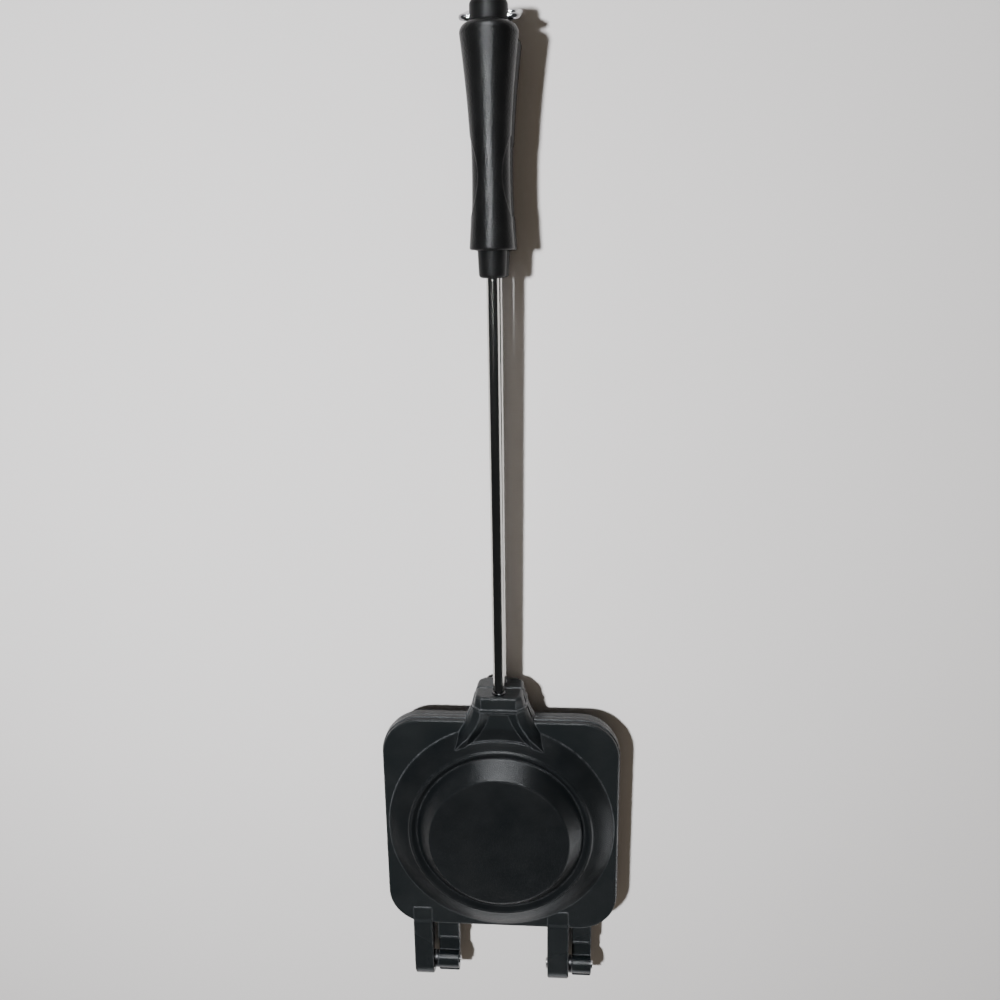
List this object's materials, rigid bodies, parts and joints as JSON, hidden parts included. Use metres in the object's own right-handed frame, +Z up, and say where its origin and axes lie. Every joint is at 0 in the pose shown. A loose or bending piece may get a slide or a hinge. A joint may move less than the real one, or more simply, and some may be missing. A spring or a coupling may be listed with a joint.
{
  "type": "pie iron",
  "caption": "Hinged cast pie iron with a round pan in each square plate, long steel rods, waisted grips and a wire latch bail.",
  "frame": {"origin": "middle of the lower casting's flat disc face, with the closed iron lying at rest", "axes": "+Z up, +Y from the hinge towards the grips, +X across the plates to the right"},
  "size_m": [0.1412, 0.564, 0.057],
  "materials": {
    "cast_body": "satin black non-stick coating",
    "rod_steel": "bright plated",
    "ferrule_plastic": "smooth satin",
    "grip_plastic": "fine pebble texture",
    "cap_plastic": "smooth satin",
    "hardware_steel": "plain steel",
    "bail_wire": "bright plated wire"
  },
  "bodies": {
    "lower_half": {"lower_plate": "cast_body", "lower_rod": "rod_steel", "lower_rod_collar": "rod_steel", "lower_ferrule": "ferrule_plastic", "lower_grip": "grip_plastic", "lower_grip_washer": "hardware_steel", "lower_grip_nut": "hardware_steel", "lower_end_cap": "cap_plastic", "left_hinge_pin": "hardware_steel", "right_hinge_pin": "hardware_steel", "left_hinge_spacer": "hardware_steel", "right_hinge_spacer": "hardware_steel"},
    "upper_half": {"upper_plate": "cast_body", "upper_rod": "rod_steel", "upper_rod_collar": "rod_steel", "upper_ferrule": "ferrule_plastic", "upper_grip": "grip_plastic", "upper_grip_washer": "hardware_steel", "upper_grip_nut": "hardware_steel", "upper_end_cap": "cap_plastic"},
    "bail": {"latch_bail": "bail_wire"}
  },
  "joints": [
    {"name": "plate_hinge", "type": "hinge", "parent": "lower_half", "child": "upper_half", "pos_m": [0, -0.10207, 0.02158], "axis": [1, 0, 0], "range_deg": [0, 180]},
    {"name": "bail_pivot", "type": "hinge", "parent": "upper_half", "child": "bail", "pos_m": [0, 0.44014, 0.04255], "axis": [1, 0, 0], "range_deg": [-16, 164]}
  ]
}
